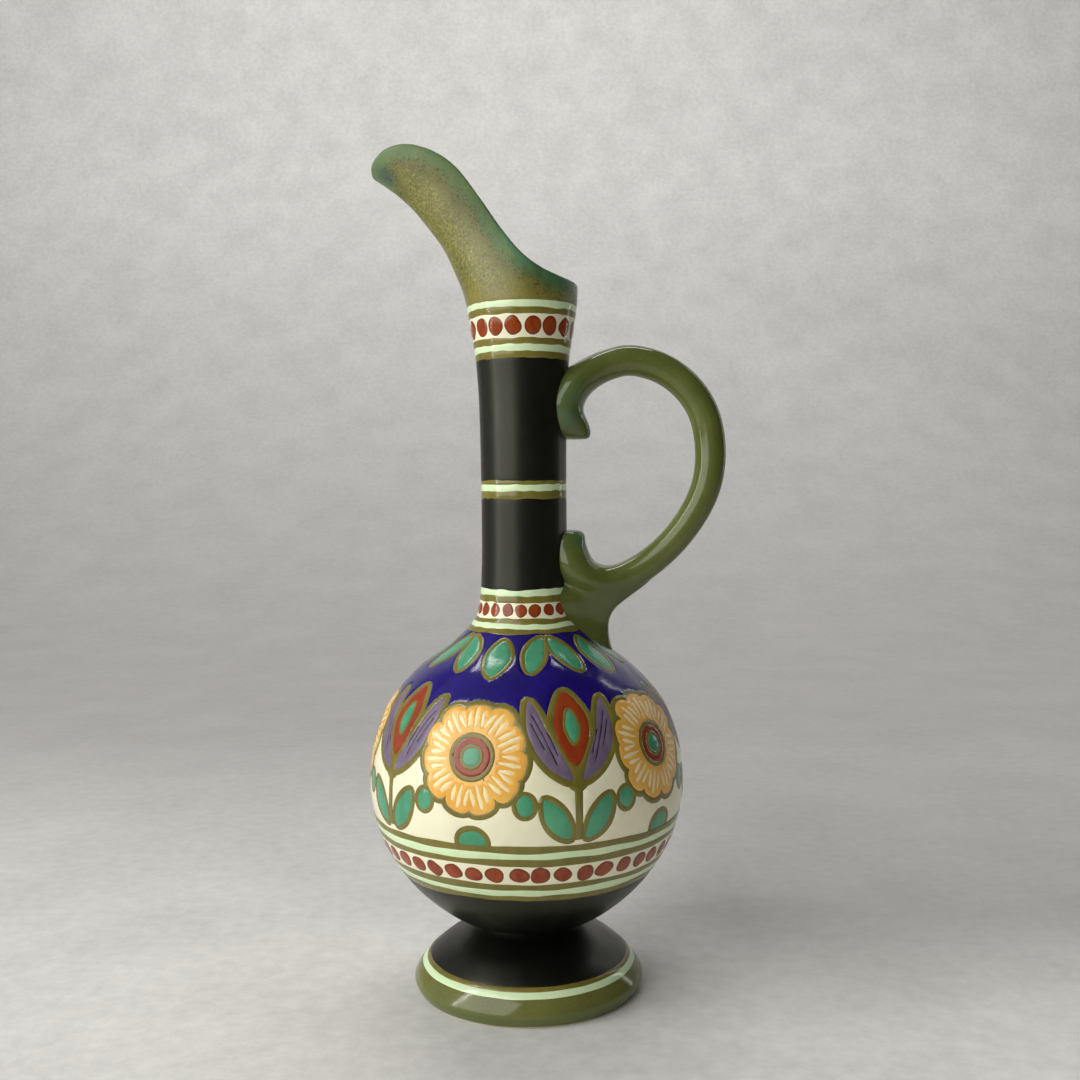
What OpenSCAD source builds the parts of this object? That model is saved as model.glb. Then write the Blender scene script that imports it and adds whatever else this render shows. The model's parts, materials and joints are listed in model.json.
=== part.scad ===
/* [Foot] */
// Diameter of the foot over its rolled rim
foot_d = 76.6; // [66:0.2:88]
// Height of the foot, from the table to the waist of the stem
foot_h = 22; // [19:0.5:26]
// Diameter of the waist between foot and belly
stem_d = 34.6; // [28:0.2:40]
// Thickness of the foot's wall, measured level
foot_wall = 4.6; // [3.6:0.1:6]
// Height of the hollow under the foot
foot_hollow_h = 15; // [11:0.5:17]

/* [Belly and neck] */
// Diameter of the belly at its widest
belly_d = 104.4; // [94:0.2:116]
// Height of the belly from the waist to its widest level
belly_low_h = 48; // [43:0.5:54]
// Height from the belly's widest level to the foot of the neck
belly_up_h = 57; // [51:0.5:64]
// Diameter of the neck at its slimmest
neck_d = 28.2; // [25:0.2:32]
// Height of the neck, from its foot to the mouth
neck_h = 99; // [90:0.5:110]
// Diameter of the mouth, where the spout starts
mouth_d = 36.4; // [33:0.2:40]
// Thickness of the clay wall of belly, neck and spout
wall = 3.4; // [2.8:0.1:4]
// Thickness of the belly's floor above the waist
floor_t = 5; // [4:0.1:8]
// Depth of the seam between neck and belly below the foot of the neck
neck_seam_drop = 7; // [4:0.5:8]

/* [Spout] */
// Height of the spout above the mouth
spout_h = 51.6; // [46:0.2:57]
// Distance from the pitcher's axis to the tip of the spout
spout_reach = 49; // [45:0.5:54]

/* [Handle] */
// Distance from the pitcher's axis to the middle of the handle's loop
handle_reach = 62.1; // [56:0.2:68]
// Height of the handle's loop between the middles of its lowest and highest runs
handle_span = 73.4; // [68:0.2:80]
// Height of the middle of the loop's lowest run above the foot of the neck
handle_rise = 8.2; // [7:0.2:10]
// Thickness of the handle in the middle of its loop
handle_d = 10.3; // [9:0.1:11.5]
// Half the breadth of the handle's ends where they lie on the neck
handle_grip_w = 10; // [8:0.1:11]
// Distance from the axis to the outer edge of the handle's leg
leg_reach = 28.2; // [26.5:0.1:30]
// Height of the handle's leg, from inside the loop's lowest run down into the shoulder
leg_h = 28.8; // [27:0.2:31]

/* [Glaze and enamel] */
// Thickness of the glaze coats, measured level
coat = 0.4; // [0.3:0.05:0.6]
// Height of one painted line in the bands
line_w = 2.1; // [1.8:0.05:2.4]
// Height of one painted line on the slope below the neck
slope_line_w = 1.5; // [1.3:0.05:1.7]
// Height of the neck's lowest black edge above the foot of the neck
neck_band_rise = 6.7; // [6:0.1:8]
// Height of the cream strip behind the beads of the collar
collar_strip_w = 7.4; // [6.5:0.1:8]
// Height of the cream strip behind the beads at the foot of the neck
neck_strip_w = 5.1; // [4.6:0.1:5.6]
// Height of the cream strip behind the beads of the belly
belly_strip_w = 6.4; // [5.8:0.1:7]
// How far an enamel bead stands proud of its strip
bead_t = 0.35; // [0.25:0.05:0.6]
// Clear height round a bead as a share of its strip
bead_gap_share = 0.12; // [0.08:0.01:0.2]
// Number of beads round the collar
collar_beads_n = 17; // [13:1:18]
// Number of beads round the foot of the neck
neck_beads_n = 21; // [15:1:22]
// Number of beads round the belly
belly_beads_n = 44; // [34:1:45]
// Height of the belly band's upper edge above the waist
belly_band_rise = 38.8; // [35:0.2:42]
// Height of the cobalt field's lower edge above the belly's widest level
cobalt_rise = 28; // [20:0.5:34]
// Height of the line round the middle of the neck above the neck's foot
neck_line_rise = 41.9; // [38:0.5:46]
// Height of the black glaze's lower edge on the foot
foot_line_h = 11.2; // [10:0.1:12.5]
// Width of the bare clay edge that the foot stands on
bare_edge_h = 0.6; // [0.4:0.1:1]

/* [Hidden] */
$fn = 72;

// Levels that the pieces share, from the table up
belly_mid_z = foot_h + belly_low_h;
neck_foot_z = belly_mid_z + belly_up_h;
mouth_z = neck_foot_z + neck_h;
seam_z = neck_foot_z - neck_seam_drop;
foot_r = foot_d / 2;
stem_r = stem_d / 2;
belly_r = belly_d / 2;
neck_r = neck_d / 2;
mouth_r = mouth_d / 2;
// Overrun of every cut past the surface that it opens
over = 2;
// Steps of the curve between two points of an outline
outline_steps = 4;

// Outline of the glazed surface as shares of [overhang, height] of each stretch
foot_shares = [[0.925, 0], [1, 0.15], [0.948, 0.295], [0.769, 0.49], [0.457, 0.727], [0.146, 0.886]];
belly_low_shares = [[0, 0], [0.198, 0.0625], [0.438, 0.1875], [0.67, 0.36], [0.865, 0.583], [0.974, 0.823]];
belly_up_shares = [[1, 0], [0.968, 0.21], [0.863, 0.412], [0.727, 0.544], [0.512, 0.684], [0.291, 0.788],
    [0.108, 0.898]];
neck_shares = [[0.31, 0], [0.048, 0.131], [0, 0.333], [0.071, 0.636], [0.262, 0.798], [0.548, 0.889], [1, 1]];

function stretch(shares, r_from, r_to, z_from, z_to) =
    [for (s = shares) [r_from + s[0] * (r_to - r_from), z_from + s[1] * (z_to - z_from)]];

outline = concat(
    stretch(foot_shares, stem_r, foot_r, 0, foot_h),
    stretch(belly_low_shares, stem_r, belly_r, foot_h, belly_mid_z),
    stretch(belly_up_shares, neck_r, belly_r, belly_mid_z, neck_foot_z),
    stretch(neck_shares, neck_r, mouth_r, neck_foot_z, mouth_z));

// Catmull-Rom curve through a list of points of any dimension
function curve_point(a, b, c, d, t) =
    (2 * b + (c - a) * t + (2 * a - 5 * b + 4 * c - d) * t * t + (3 * b - a - 3 * c + d) * t * t * t) / 2;
function curve(points, steps) =
    let (last = len(points) - 1)
    [for (i = [0 : last - 1]) for (k = [0 : steps - 1])
        curve_point(points[max(i - 1, 0)], points[i], points[i + 1], points[min(i + 2, last)], k / steps),
     points[last]];

surface_points = curve(outline, outline_steps);
radius_by_level = [for (p = surface_points) [p[1], p[0]]];
// Radius of the glazed surface and of the clay under it at a level
function surface_r(z) = lookup(z, radius_by_level);
function clay_r(z) = surface_r(z) - coat;

// Outward normal of the glazed surface at one of its points
function surface_normal(i) =
    let (last = len(surface_points) - 1,
         along = surface_points[min(i + 1, last)] - surface_points[max(i - 1, 0)])
    [along[1], -along[0]] / norm(along);
// Radius of the hollow inside the belly and the neck, by level
hollow_by_level = [for (i = [0 : len(surface_points) - 1])
    let (p = surface_points[i] - wall * surface_normal(i))
    if (surface_points[i][1] > foot_h + floor_t / 2) [p[1], p[0]]];
function hollow_r(z) = lookup(z, hollow_by_level);

// Levels of the surface's points between two levels, with both ends
function levels(low, high) =
    concat([low], [for (p = surface_points) if (p[1] > low && p[1] < high) p[1]], [high]);
function reversed(list) = [for (i = [len(list) - 1 : -1 : 0]) list[i]];

// Solid of revolution between the clay and the glazed surface
module coat_ring(low, high) {
    zs = levels(low, high);
    rotate_extrude()
        polygon(concat([for (z = zs) [surface_r(z), z]], [for (z = reversed(zs)) [clay_r(z), z]]));
}

// Everything inside the glazed surface between two levels, grown by a relief that lies on it
module filled_surface(low, high, relief = 0) {
    zs = levels(low, high);
    rotate_extrude()
        polygon(concat([for (z = zs) [surface_r(z) + relief, z]], [[0, high], [0, low]]));
}

// Polyhedron through closed rings of equally many points, capped at both ends. Seen along the way
// from the first ring to the last, the points go round counterclockwise
module loft(rings) {
    n = len(rings[0]);
    m = len(rings);
    points = [for (ring = rings) for (p = ring) p];
    sides = [for (i = [0 : m - 2]) for (j = [0 : n - 1])
        let (a = i * n + j, b = i * n + (j + 1) % n)
        each [[a, b, b + n], [a, b + n, a + n]]];
    ends = [[for (j = [n - 1 : -1 : 0]) j], [for (j = [0 : n - 1]) (m - 1) * n + j]];
    polyhedron(points, concat(ends, sides));
}

module foot() {
    hollow_r0 = clay_r(0) - foot_wall;
    zs = levels(0, foot_h);
    hollow_zs = levels(0, foot_hollow_h);
    color("lightyellow")
        rotate_extrude()
            polygon(concat(
                [for (z = zs) [clay_r(z), z]],
                [[0, foot_h], [0, foot_hollow_h]],
                [for (z = reversed(hollow_zs)) [min(hollow_r0, clay_r(z) - foot_wall), z]]));
}

module belly() {
    zs = levels(foot_h, seam_z);
    floor_z = foot_h + floor_t;
    hollow_zs = levels(floor_z, seam_z);
    color("ivory")
        rotate_extrude()
            polygon(concat(
                [for (z = zs) [clay_r(z), z]],
                [for (z = reversed(hollow_zs)) [hollow_r(z), z]],
                [[0, floor_z], [0, foot_h]]));
}

module neck() {
    zs = levels(seam_z, mouth_z);
    color("ivory")
        rotate_extrude()
            polygon(concat(
                [for (z = zs) [clay_r(z), z]],
                [for (z = reversed(zs)) [hollow_r(z), z]]));
}

// Spout: a horn of oval sections, of which only the trough below the rim line is kept
// Sections as shares: underside [reach, height], top [reach, height], half breadth
horn_shares = [
    [0, 0, 0, 0, 1],
    [0.04, 0.097, -0.003, 0.174, 0.978],
    [0.104, 0.194, 0.027, 0.349, 0.89],
    [0.236, 0.368, 0.153, 0.523, 0.738],
    [0.397, 0.504, 0.287, 0.698, 0.645],
    [0.56, 0.624, 0.42, 0.891, 0.579],
    [0.723, 0.715, 0.569, 1.066, 0.536],
    [0.86, 0.775, 0.733, 1.182, 0.492],
    [1.016, 0.833, 0.911, 1.24, 0.448],
    [1.163, 0.872, 1.074, 1.26, 0.41]];
// Rim line as shares of [reach from the rear wall, height]
rim_shares = [[0, 0.135], [0.086, 0.16], [0.181, 0.21], [0.275, 0.308], [0.37, 0.468], [0.464, 0.652],
    [0.581, 0.855], [0.701, 0.961], [0.822, 1], [0.918, 0.971], [0.979, 0.907], [1, 0.849], [0.991, 0.798],
    [0.955, 0.736]];
horn_steps = 2;
horn_sides = 28;
rim_steps = 3;
spout_span = mouth_r + spout_reach;
// Height over which the spout's hollow starts truly round, on the neck's bore
mouth_land_h = wall / 4;
// Reach of the cut above the rim, past every side of the spout
clear_reach = 2 * (spout_span + spout_h);

function horn_section(s) = [
    -(mouth_r + s[0] * (spout_reach - mouth_r)), mouth_z + s[1] * spout_h,
    mouth_r - s[2] * spout_span, mouth_z + s[3] * spout_h, s[4] * mouth_r];
horn_sections = curve([for (s = horn_shares) horn_section(s)], horn_steps);

// Ring of one section, drawn in by a thickness
function horn_ring(s, inset) =
    let (low = [s[0], s[1]], high = [s[2], s[3]],
         middle = (low + high) / 2,
         along = (high - low) / norm(high - low),
         long = norm(high - low) / 2 - inset,
         broad = s[4] - inset)
    [for (j = [0 : horn_sides - 1])
        let (a = 360 * j / horn_sides, p = middle - along * long * cos(a))
        [p[0], broad * sin(a), p[1]]];

module horn(inset) {
    loft([for (s = horn_sections) horn_ring(s, inset)]);
}

// Everything above the rim line, to be cut away
module above_rim() {
    rim = curve([for (s = rim_shares) [mouth_r - s[0] * spout_span, mouth_z + s[1] * spout_h]], rim_steps);
    last = rim[len(rim) - 1];
    rotate([90, 0, 0])
        linear_extrude(clear_reach, center = true)
            polygon(concat(
                [[clear_reach, rim[0][1]]], rim,
                [[-clear_reach, last[1]], [-clear_reach, mouth_z + clear_reach],
                 [clear_reach, mouth_z + clear_reach]]));
}

module spout() {
    color("olivedrab")
        difference() {
            horn(0);
            horn(wall);
            translate([0, 0, mouth_z - over])
                cylinder(r = hollow_r(mouth_z), h = over + mouth_land_h);
            above_rim();
        }
}

// Handle: route of its middle as shares of [reach from the neck, height of the loop], then its half
// thickness as a share of the loop's, and how far its breadth grows from the loop's to the grip's
handle_shares = [
    [0.029, 0.644, 0.97, -0.34], [0.029, 0.653, 1.28, -0.03], [0.029, 0.668, 1.38, 0.22],
    [0.015, 0.699, 1.4, 0.55], [-0.015, 0.747, 1.34, 0.88], [-0.015, 0.808, 1.34, 1.06],
    [0.052, 0.88, 1.2, 1], [0.16, 0.936, 1.05, 0.59], [0.294, 0.977, 1, 0.22], [0.456, 0.997, 1, 0.05],
    [0.665, 0.96, 1, 0], [0.842, 0.873, 1, 0], [0.956, 0.753, 1, 0], [1, 0.597, 1, 0],
    [0.977, 0.447, 0.98, 0], [0.894, 0.317, 0.95, 0], [0.758, 0.193, 0.93, 0], [0.602, 0.097, 0.94, 0],
    [0.446, 0.033, 0.98, 0.1], [0.29, 0.003, 1, 0.38], [0.135, 0.019, 1.2, 0.92], [0.023, 0.087, 1.42, 0.96],
    [-0.017, 0.161, 1.44, 0.59], [-0.006, 0.207, 1.24, 0.26], [0.015, 0.23, 0.9, -0.13],
    [0.029, 0.242, 0.55, -0.45]];
handle_steps = 2;
handle_sides = 14;
handle_low_z = neck_foot_z + handle_rise;
handle_r = handle_d / 2;
handle_route = curve([for (s = handle_shares) [
    neck_r + s[0] * (handle_reach - neck_r), handle_low_z + s[1] * handle_span,
    s[2] * handle_r, handle_r + s[3] * (handle_grip_w - handle_r)]], handle_steps);

function handle_ring(i) =
    let (last = len(handle_route) - 1, p = handle_route[i],
         ahead = handle_route[min(i + 1, last)] - handle_route[max(i - 1, 0)],
         step = [ahead[0], ahead[1]] / norm([ahead[0], ahead[1]]),
         side = [step[1], -step[0]])
    [for (j = [0 : handle_sides - 1])
        let (a = -360 * j / handle_sides)
        [p[0] + side[0] * p[2] * cos(a), p[3] * sin(a), p[1] + side[1] * p[2] * cos(a)]];

// Leg: level oval sections as shares of [height from the top down, outer edge's reach, half breadth]
leg_shares = [[0, 1.54, 0.35], [0.086, 1.5, 0.52], [0.174, 1.418, 0.72], [0.26, 1.312, 0.9],
    [0.347, 1.2, 0.97], [0.417, 1.108, 0.93], [0.486, 1.048, 0.92], [0.573, 1.012, 0.93],
    [0.694, 1, 0.93], [0.833, 1.014, 0.97], [0.903, 1.04, 0.9], [1, 1.08, 0.6]];
// How far the leg's top lies inside the loop, as a share of the handle's half thickness
leg_root_share = 0.55;
// Where the middle of a leg's section lies: share of the surface's radius, and of the leg's own reach
leg_middle_share = 0.75;
leg_limit_share = 0.8;

// Its back half ends on the pitcher's axis, inside the neck
function leg_ring(s) =
    let (z = handle_low_z + leg_root_share * handle_r - s[0] * leg_h,
         middle = min(leg_middle_share * surface_r(z), leg_limit_share * leg_reach),
         depth = s[1] * leg_reach - middle)
    [for (j = [0 : handle_sides - 1])
        let (a = 360 * j / handle_sides)
        [middle + (cos(a) > 0 ? depth : middle) * cos(a), s[2] * handle_grip_w * sin(a), z]];

// The handle lies on the painted surface, over the beads of the bands that it crosses
module handle() {
    color("olive")
        difference() {
            union() {
                loft([for (i = [0 : len(handle_route) - 1]) handle_ring(i)]);
                loft([for (s = leg_shares) leg_ring(s)]);
            }
            filled_surface(foot_h, mouth_z);
            for (edges = [collar_edges, neck_base_edges])
                filled_surface(edges[3], edges[2], bead_t);
        }
}

// Painted bands: levels of the lines' edges from the top line down
olive = [0.47, 0.42, 0.17];
mint = [0.8, 0.95, 0.82];
cream = [0.96, 0.95, 0.82];
black = [0.08, 0.08, 0.09];
cobalt = [0.14, 0.04, 0.5];
rust = [0.6, 0.24, 0.14];

// Edges of a stack of lines: its top level, then the lower edge of each line
function below(top, widths, i = 0) =
    i == len(widths) ? [top] : concat([top], below(top - widths[i], widths, i + 1));

belly_band_z = foot_h + belly_band_rise;
belly_edges = below(belly_band_z, [line_w, line_w, line_w, belly_strip_w, line_w, line_w, line_w]);
neck_base_z = neck_foot_z + neck_band_rise;
neck_base_edges = below(neck_base_z,
    [line_w, line_w, neck_strip_w, slope_line_w, slope_line_w, slope_line_w]);
collar_edges = below(mouth_z, [line_w, line_w, collar_strip_w, line_w, line_w, line_w]);
// Widths of the thinner lines as shares of a full line
neck_line_shares = [0.6, 1, 1.2];
foot_line_shares = [0.5, 0.75];
neck_line_edges = below(neck_foot_z + neck_line_rise, line_w * neck_line_shares);
foot_edges = below(foot_line_h, line_w * foot_line_shares);
cobalt_low_z = belly_mid_z + cobalt_rise;

// Coats of the picked lines of a band
module lines(edges, picks) {
    for (i = picks)
        coat_ring(edges[i + 1], edges[i]);
}

// Row of enamel beads on a cream strip, each as broad as the strip leaves room for
module beads(low, high, n) {
    middle = (low + high) / 2;
    gap = bead_gap_share * (high - low);
    bead_h = high - low - gap;
    bead_w = min(bead_h, 2 * PI * surface_r(middle) / n - gap);
    zs = levels(low, high);
    for (i = [0 : n - 1])
        rotate([0, 0, (i + 0.5) * 360 / n])
            intersection() {
                rotate([0, 0, -180 / n])
                    rotate_extrude(angle = 360 / n)
                        polygon(concat(
                            [for (z = zs) [surface_r(z) + bead_t, z]],
                            [for (z = reversed(zs)) [surface_r(z), z]]));
                translate([0, 0, middle])
                    rotate([0, 90, 0])
                        cylinder(r = bead_w / 2, h = 2 * surface_r(middle));
            }
}

module foot_rim_glaze() { color("olivedrab") coat_ring(bare_edge_h, foot_edges[2]); }
module foot_mint_line() { color(mint) lines(foot_edges, [1]); }
module foot_olive_line() { color(olive) lines(foot_edges, [0]); }
module black_glaze_base() { color(black) coat_ring(foot_edges[0], belly_edges[7]); }
module belly_band_olive() { color(olive) lines(belly_edges, [0, 2, 4, 6]); }
module belly_band_mint() { color(mint) lines(belly_edges, [1, 5]); }
module belly_band_ground() { color(cream) lines(belly_edges, [3]); }
module belly_beads() { color(rust) beads(belly_edges[4], belly_edges[3], belly_beads_n); }
module belly_ground() { color(cream) coat_ring(belly_edges[0], cobalt_low_z); }
module shoulder_ground() { color(cobalt) coat_ring(cobalt_low_z, neck_base_edges[6]); }
module neck_base_olive() { color(olive) lines(neck_base_edges, [1, 3, 5]); }
module neck_base_mint() { color(mint) lines(neck_base_edges, [0, 4]); }
module neck_base_ground() { color(cream) lines(neck_base_edges, [2]); }
module neck_base_beads() { color(rust) beads(neck_base_edges[3], neck_base_edges[2], neck_beads_n); }
module neck_black_lower() { color(black) coat_ring(neck_base_edges[0], neck_line_edges[3]); }
module neck_line_olive() { color(olive) lines(neck_line_edges, [0, 2]); }
module neck_line_mint() { color(mint) lines(neck_line_edges, [1]); }
module neck_black_upper() { color(black) coat_ring(neck_line_edges[0], collar_edges[6]); }
module collar_olive() { color(olive) lines(collar_edges, [1, 3, 5]); }
module collar_mint() { color(mint) lines(collar_edges, [0, 4]); }
module collar_ground() { color(cream) lines(collar_edges, [2]); }
module collar_beads() { color(rust) beads(collar_edges[3], collar_edges[2], collar_beads_n); }

foot();
belly();
neck();
spout();
handle();
foot_rim_glaze();
foot_mint_line();
foot_olive_line();
black_glaze_base();
belly_band_olive();
belly_band_mint();
belly_band_ground();
belly_beads();
belly_ground();
shoulder_ground();
neck_base_olive();
neck_base_mint();
neck_base_ground();
neck_base_beads();
neck_black_lower();
neck_line_olive();
neck_line_mint();
neck_black_upper();
collar_olive();
collar_mint();
collar_ground();
collar_beads();
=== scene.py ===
"""Looks of a tall painted earthenware pitcher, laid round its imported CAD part.

Sizes are written in millimetres and become metres when a mesh is made. Angles run round the
pitcher's axis: 0 at the handle, 180 at the spout, -90 towards the camera.
"""
import json
import math

import bmesh
import bpy
import numpy as np
from mathutils import Matrix, Vector, geometry, kdtree

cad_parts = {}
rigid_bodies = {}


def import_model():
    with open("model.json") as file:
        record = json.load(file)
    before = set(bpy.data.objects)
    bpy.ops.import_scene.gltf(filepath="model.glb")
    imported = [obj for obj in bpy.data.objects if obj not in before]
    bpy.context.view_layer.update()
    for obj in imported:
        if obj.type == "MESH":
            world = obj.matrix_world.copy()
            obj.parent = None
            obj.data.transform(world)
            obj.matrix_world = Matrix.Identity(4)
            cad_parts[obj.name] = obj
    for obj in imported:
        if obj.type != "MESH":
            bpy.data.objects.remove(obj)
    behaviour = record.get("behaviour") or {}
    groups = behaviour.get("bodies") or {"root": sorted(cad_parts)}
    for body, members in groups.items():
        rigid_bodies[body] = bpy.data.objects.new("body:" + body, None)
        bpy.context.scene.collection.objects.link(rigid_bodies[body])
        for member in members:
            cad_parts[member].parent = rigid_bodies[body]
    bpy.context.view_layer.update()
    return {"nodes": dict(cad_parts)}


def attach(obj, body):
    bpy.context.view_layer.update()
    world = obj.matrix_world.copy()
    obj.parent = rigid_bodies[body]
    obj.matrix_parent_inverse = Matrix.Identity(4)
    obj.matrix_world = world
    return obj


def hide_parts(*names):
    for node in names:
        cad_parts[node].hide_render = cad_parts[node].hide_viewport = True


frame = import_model()

MM = 0.001
TAU = 2 * math.pi
BODY = "root"
rng = np.random.default_rng(41)

# ---- The glazed outline, as in the part's source ----

FOOT_H, BELLY_MID_Z, NECK_FOOT_Z, MOUTH_Z = 22.0, 70.0, 127.0, 226.0
FOOT_R, STEM_R, BELLY_R, NECK_R, MOUTH_R = 38.3, 17.3, 52.2, 14.1, 18.2
WALL = 3.4
COAT = 0.4

CURVE_STEPS = 16    # curve points per outline point
SOFT_SPAN = 15      # curve points over which a radius is averaged
CRISP_POINTS = 24   # first curve points, which keep their radius
CREASE_FILL = 0.05  # most that averaging may add to a radius


def columns(*parts):
    """Points from the lists of their coordinates, or from one that all share."""
    return np.stack(np.broadcast_arrays(*parts), axis=-1)


def circle(sides):
    """Angles in even steps, all the way round."""
    return np.arange(sides) * TAU / sides


def stretch(shares, r_from, r_to, z_from, z_to):
    """Outline points [radius, level] from shares of the overhang and the height."""
    return [(r_from + a * (r_to - r_from), z_from + b * (z_to - z_from)) for a, b in shares]


def curve(points, steps):
    """Catmull-Rom curve through points of any dimension."""
    p = np.array(points, float)
    last = len(p) - 1
    t = (np.arange(steps) / steps)[:, None]
    out = []
    for i in range(last):
        a, b, c, d = p[max(i - 1, 0)], p[i], p[i + 1], p[min(i + 2, last)]
        out.append((2 * b + (c - a) * t + (2 * a - 5 * b + 4 * c - d) * t ** 2
                    + (3 * b - a - 3 * c + d) * t ** 3) / 2)
    return np.concatenate(out + [p[-1:]])


OUTLINE = curve(
    stretch([(0.925, 0), (1, 0.15), (0.948, 0.295), (0.769, 0.49), (0.457, 0.727), (0.146, 0.886)],
            STEM_R, FOOT_R, 0, FOOT_H)
    + stretch([(0, 0), (0.198, 0.0625), (0.438, 0.1875), (0.67, 0.36), (0.865, 0.583),
               (0.974, 0.823)], STEM_R, BELLY_R, FOOT_H, BELLY_MID_Z)
    + stretch([(1, 0), (0.968, 0.21), (0.863, 0.412), (0.727, 0.544), (0.512, 0.684),
               (0.291, 0.788), (0.108, 0.898)], NECK_R, BELLY_R, BELLY_MID_Z, NECK_FOOT_Z)
    + stretch([(0.31, 0), (0.048, 0.131), (0, 0.333), (0.071, 0.636), (0.262, 0.798),
               (0.548, 0.889), (1, 1)], NECK_R, MOUTH_R, NECK_FOOT_Z, MOUTH_Z), CURVE_STEPS)
SOFT_WEIGHTS = np.hanning(SOFT_SPAN) / np.hanning(SOFT_SPAN).sum()
OUTLINE_R = np.convolve(np.pad(OUTLINE[:, 0], SOFT_SPAN // 2, mode="edge"), SOFT_WEIGHTS, "valid")
OUTLINE_R[:CRISP_POINTS] = OUTLINE[:CRISP_POINTS, 0]
OUTLINE_R = np.minimum(OUTLINE_R, OUTLINE[:, 0] + CREASE_FILL)
ARC = np.concatenate([[0], np.cumsum(np.hypot(np.diff(OUTLINE_R), np.diff(OUTLINE[:, 1])))])


def radius(z):
    return np.interp(z, OUTLINE[:, 1], OUTLINE_R)


def arc_at(z):
    """Length along the outline, from the table up to a level."""
    return np.interp(z, OUTLINE[:, 1], ARC)


def level_at(arc):
    return np.interp(arc, ARC, OUTLINE[:, 1])


def outward(z):
    """Outward normal (radial, axial) of the outline at a level."""
    h = 0.4
    dr = radius(z + h) - radius(z - h)
    n = np.hypot(dr, 2 * h)
    return 2 * h / n, -dr / n


def on_surface(angle, z, relief):
    """Points at an angle (radians) and level, a relief out from the surface."""
    nr, nz = outward(z)
    r = radius(z) + relief * nr
    return columns(r * np.cos(angle), r * np.sin(angle), z + relief * nz)


def wobble(angle, size, seed):
    """Hand-drawn waver that closes after a full turn."""
    own = np.random.default_rng(seed)
    out = np.zeros_like(angle)
    total = 0.0
    for k in range(2, 26):
        a = 1 / (k + 3)
        out += a * np.sin(k * angle + own.uniform(0, TAU))
        total += a * a / 2
    return size * out / math.sqrt(total)


def drawn_edge(z, angle):
    """Length along the outline to a painted edge with its hand-drawn waver."""
    size = 0.04 if z < FOOT_H else 0.16 if z < BELLY_MID_Z else 0.12
    return arc_at(z + wobble(angle, size, int(round(z * 100)) + 7))


# ---- Meshes ----

RING_SIDES = 480
EDGE_ROUND = 0.22  # length over which a coat rises from its edge
RING_ROW_GAP = 1.1

BEAD_RINGS, BEAD_SIDES = 6, 30
BEAD_RELIEF, BEAD_DEPTH, BEAD_LIFT = 0.16, 0.25, 0.01
BEAD_PHASE = 0.31   # radians from the handle to a row's start
BEAD_TALL = 0.84    # share of its strip's height that a bead fills
BEAD_BROAD = 0.465  # greatest half width, as a share of the room per bead


def mesh_of(name, verts, faces):
    mesh = bpy.data.meshes.new(name)
    mesh.from_pydata([tuple(v) for v in verts], [], [tuple(f) for f in faces])
    return mesh


def linked(name, data):
    obj = bpy.data.objects.new(name, data)
    bpy.context.scene.collection.objects.link(obj)
    return obj


def add_object(name, mesh, material, replaces=()):
    """A finished mesh in metres, riding on the pitcher's one body."""
    obj = linked(name, mesh)
    mesh.materials.append(material)
    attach(obj, BODY)
    if replaces:
        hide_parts(*replaces)
    return obj


def add_piece(name, verts, faces, material, slot, replaces=(), sharp_deg=40):
    """A piece from millimetre points and faces."""
    mesh = mesh_of(name, verts * MM, faces)
    mesh.validate()
    mesh.update()
    mesh.shade_smooth()
    mesh.set_sharp_from_angle(angle=math.radians(sharp_deg))
    return add_object(name, mesh, material, replaces)


def coordinates(mesh):
    """Vertices of a finished mesh, in millimetres."""
    out = np.empty(len(mesh.vertices) * 3, np.float32)
    mesh.vertices.foreach_get("co", out)
    return out.reshape(-1, 3) / MM


def with_values(obj, name, values):
    """Gives each vertex a number that the material reads."""
    attribute = obj.data.attributes.new(name, "FLOAT", "POINT")
    attribute.data.foreach_set("value", np.asarray(values, np.float32))


def distances(points, p):
    """Distance from each of p to the nearest of the points."""
    tree = kdtree.KDTree(len(points))
    for k, q in enumerate(points):
        tree.insert(q, k)
    tree.balance()
    return np.array([tree.find(q)[2] for q in p])


def joined(parts):
    """One vertex and face list from several."""
    verts, faces, base = [], [], 0
    for v, f in parts:
        verts.append(v)
        faces += [tuple(i + base for i in face) for face in f]
        base += len(v)
    return np.concatenate(verts), faces


def skin(rings, closed=False):
    """Faces from ring to ring; closed also joins the last to the first."""
    n, m = len(rings[0]), len(rings)
    faces = [(r * n + j, r * n + (j + 1) % n, (r + 1) % m * n + (j + 1) % n, (r + 1) % m * n + j)
             for r in range(m if closed else m - 1) for j in range(n)]
    return np.concatenate(rings), faces


def ring_band(low, high, relief, row_gap=RING_ROW_GAP):
    """Closed coat round the pitcher between painted edges at two levels."""
    angle = circle(RING_SIDES)
    edge_low, edge_high = (drawn_edge(z, angle) for z in (low, high))
    span = float(arc_at(high) - arc_at(low))
    rim = min(0.25, 0.35 / span)
    middle = np.linspace(rim, 1 - rim, max(2, int(span / row_gap)) + 1)
    shares = np.unique([0, rim * 0.35, rim, *middle, 1 - rim, 1 - rim * 0.35, 1])
    levels = [level_at(edge_low * (1 - s) + edge_high * s) for s in shares]
    rows = [on_surface(angle, z, relief * (1 - math.exp(-min(s, 1 - s) * span / EDGE_ROUND)))
            for s, z in zip(shares, levels)]
    rows += [on_surface(angle, z, -COAT) for z in levels[::-1]]
    return skin(rows, closed=True)


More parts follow.
